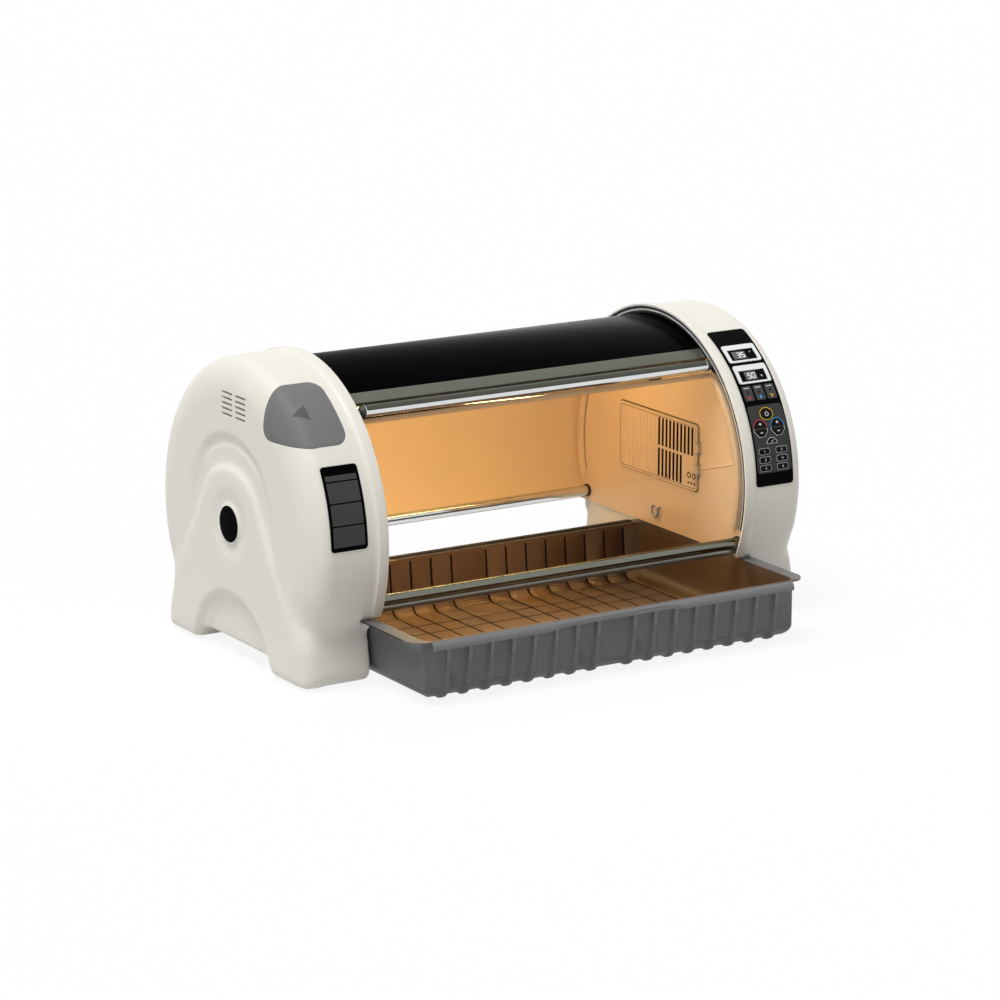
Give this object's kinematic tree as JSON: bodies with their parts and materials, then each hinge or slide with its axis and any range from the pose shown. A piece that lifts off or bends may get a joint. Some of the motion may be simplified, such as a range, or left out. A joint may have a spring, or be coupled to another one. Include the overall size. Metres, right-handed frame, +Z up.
{
  "type": "chick brooder",
  "caption": "Barrel-shaped chick brooder with moulded end housings, black curved cover, roll-up clear door, pull-out ribbed tray, hinged air grille and a keypad with displays.",
  "frame": {"origin": "on the table, at the middle of the footprint with the tray pulled out as at rest", "axes": "+X along the barrel towards the control panel, -Y to the front, +Z up"},
  "size_m": [1.003, 0.7074, 0.5175],
  "materials": {
    "housing_plastic": "cream ABS with a fine satin grain",
    "wall_plastic": "warm tan polypropylene",
    "gasket_rubber": "black EPDM rubber",
    "ring_plastic": "pale moulded bead",
    "cover_black": "gloss black acrylic",
    "liner_plastic": "warm tan inner sheet",
    "trim_metal": "grey-green painted strip",
    "chrome": "polished chrome plate",
    "collar_plastic": "black nylon",
    "steel": "brushed stainless steel",
    "sill_metal": "anodised strip",
    "runner_plastic": "white acetal",
    "tray_plastic": "dark grey ABS sheet",
    "door_clear": "clear polycarbonate sheet",
    "lamp_glow": "amber diffuser",
    "service_grey": "grey ABS",
    "tank_plastic": "translucent polyethylene",
    "device_grey": "grey nylon",
    "label_black": "black printed film",
    "bezel_white": "silver-white moulding",
    "lcd_glass": "dark display window",
    "cell_grey": "grey printed film",
    "light_red": "red light pipe",
    "keypad_grey": "grey silicone sheet",
    "key_black": "black silicone rubber",
    "board_green": "green circuit board",
    "fan_black": "black nylon",
    "motor_metal": "zinc-plated can",
    "heater_metal": "extruded fins",
    "filter_fibre": "filter fleece",
    "foot_rubber": "black rubber"
  },
  "bodies": {
    "base": {"left_housing": "housing_plastic", "right_housing": "housing_plastic", "left_wall": "wall_plastic", "right_wall": "wall_plastic", "door_tracks": "wall_plastic", "rim_gaskets": "gasket_rubber", "rim_rings": "ring_plastic", "top_cover": "cover_black", "cover_liner": "liner_plastic", "top_trim": "trim_metal", "front_rod": "chrome", "back_rod": "chrome", "rod_collars": "collar_plastic", "rod_bolts": "steel", "grille_pins": "steel", "sensor_hook": "steel", "front_sill": "sill_metal", "lamp_holder": "sill_metal", "tray_runners": "runner_plastic", "tank_cap": "runner_plastic", "lamp_strip": "lamp_glow", "water_tank": "tank_plastic", "mist_maker": "device_grey", "hub_discs": "label_black", "info_plate": "label_black", "panel_overlay": "label_black", "display_bezels": "bezel_white", "lcd_screens": "lcd_glass", "indicator_cells": "cell_grey", "indicator_lights": "light_red", "keypad": "keypad_grey", "control_board": "board_green", "fan_shroud": "fan_black", "power_inlet": "fan_black", "fan_motor": "motor_metal", "heater": "heater_metal", "air_filter": "filter_fibre", "rubber_feet": "foot_rubber"},
    "door": {"door_panel": "door_clear", "door_handle": "chrome", "handle_mounts": "collar_plastic", "door_rail": "collar_plastic", "door_shoes": "runner_plastic"},
    "tray": {"tray": "tray_plastic"},
    "service_lid": {"service_cover": "service_grey"},
    "grille": {"grille_door": "wall_plastic"},
    "fan": {"fan_impeller": "fan_black"},
    "power_key_cap": {"power_key": "key_black"},
    "temp_up_key_cap": {"temp_up_key": "key_black"},
    "temp_down_key_cap": {"temp_down_key": "key_black"},
    "humidity_up_key_cap": {"humidity_up_key": "key_black"},
    "humidity_down_key_cap": {"humidity_down_key": "key_black"},
    "confirm_key_cap": {"confirm_key": "key_black"},
    "small_key_1_cap": {"small_key_1": "key_black"},
    "small_key_2_cap": {"small_key_2": "key_black"},
    "small_key_3_cap": {"small_key_3": "key_black"},
    "small_key_4_cap": {"small_key_4": "key_black"},
    "small_key_5_cap": {"small_key_5": "key_black"},
    "small_key_6_cap": {"small_key_6": "key_black"}
  },
  "joints": [
    {"name": "door_swing", "type": "hinge", "parent": "base", "child": "door", "pos_m": [0, 0.07125, 0.235], "axis": [1, 0, 0], "range_deg": [0, 65]},
    {"name": "tray_slide", "type": "slide", "parent": "base", "child": "tray", "axis": [0, -1, 0], "range_m": [-0.14, 0.15]},
    {"name": "lid_slide", "type": "slide", "parent": "base", "child": "service_lid", "axis": [-1, 0, 0], "range_m": [0, 0.06]},
    {"name": "grille_swing", "type": "hinge", "parent": "base", "child": "grille", "pos_m": [0.3606, -0.05575, 0.264], "axis": [0, 0, 1], "range_deg": [0, 90]},
    {"name": "fan_spin", "type": "hinge", "parent": "base", "child": "fan", "pos_m": [0.3789, 0.008, 0.264], "axis": [1, 0, 0], "continuous": true},
    {"name": "power_key_press", "type": "slide", "parent": "base", "child": "power_key_cap", "axis": [0, 0.8894, -0.4571], "range_m": [0, 0.0006], "stiffness_N_per_m": 400},
    {"name": "temp_up_key_press", "type": "slide", "parent": "base", "child": "temp_up_key_cap", "axis": [0, 0.9242, -0.3819], "range_m": [0, 0.0006], "stiffness_N_per_m": 400},
    {"name": "temp_down_key_press", "type": "slide", "parent": "base", "child": "temp_down_key_cap", "axis": [0, 0.9288, -0.3706], "range_m": [0, 0.0006], "stiffness_N_per_m": 400},
    {"name": "humidity_up_key_press", "type": "slide", "parent": "base", "child": "humidity_up_key_cap", "axis": [0, 0.9242, -0.3819], "range_m": [0, 0.0006], "stiffness_N_per_m": 400},
    {"name": "humidity_down_key_press", "type": "slide", "parent": "base", "child": "humidity_down_key_cap", "axis": [0, 0.9288, -0.3706], "range_m": [0, 0.0006], "stiffness_N_per_m": 400},
    {"name": "confirm_key_press", "type": "slide", "parent": "base", "child": "confirm_key_cap", "axis": [0, 0.9578, -0.2874], "range_m": [0, 0.0006], "stiffness_N_per_m": 400},
    {"name": "small_key_1_press", "type": "slide", "parent": "base", "child": "small_key_1_cap", "axis": [0, 0.9705, -0.2411], "range_m": [0, 0.0006], "stiffness_N_per_m": 400},
    {"name": "small_key_2_press", "type": "slide", "parent": "base", "child": "small_key_2_cap", "axis": [0, 0.9705, -0.2411], "range_m": [0, 0.0006], "stiffness_N_per_m": 400},
    {"name": "small_key_3_press", "type": "slide", "parent": "base", "child": "small_key_3_cap", "axis": [0, 0.9818, -0.19], "range_m": [0, 0.0006], "stiffness_N_per_m": 400},
    {"name": "small_key_4_press", "type": "slide", "parent": "base", "child": "small_key_4_cap", "axis": [0, 0.9818, -0.19], "range_m": [0, 0.0006], "stiffness_N_per_m": 400},
    {"name": "small_key_5_press", "type": "slide", "parent": "base", "child": "small_key_5_cap", "axis": [0, 0.9903, -0.1392], "range_m": [0, 0.0006], "stiffness_N_per_m": 400},
    {"name": "small_key_6_press", "type": "slide", "parent": "base", "child": "small_key_6_cap", "axis": [0, 0.9903, -0.1392], "range_m": [0, 0.0006], "stiffness_N_per_m": 400}
  ]
}
